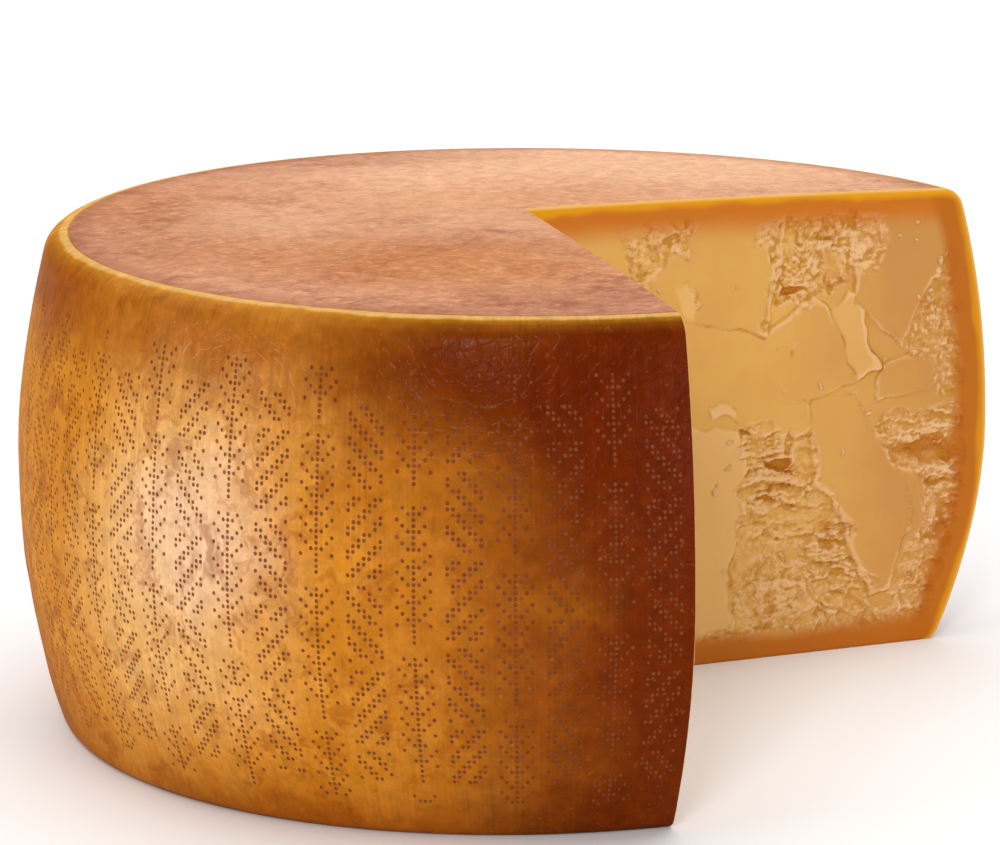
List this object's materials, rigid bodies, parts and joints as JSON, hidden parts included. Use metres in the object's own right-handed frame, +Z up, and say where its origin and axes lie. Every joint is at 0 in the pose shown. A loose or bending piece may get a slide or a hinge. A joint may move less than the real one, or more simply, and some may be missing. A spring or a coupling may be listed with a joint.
{
  "type": "hard cheese wheel with a wedge cut out",
  "caption": "Barrel-shaped wheel of hard grating cheese with a wedge of over a quarter broken out, a brown dotted rind and crumbly golden cut walls.",
  "frame": {"origin": "on the floor under the middle of the wheel's bounding box", "axes": "+Z up along the wheel's axis; the notch lies between -Y and +X, so one of its walls runs along -Y and the other close to +X"},
  "size_m": [0.4259, 0.4289, 0.2031],
  "materials": {
    "cheese": "satin"
  },
  "bodies": {
    "root": {"cheese_wheel": "cheese"}
  },
  "joints": []
}
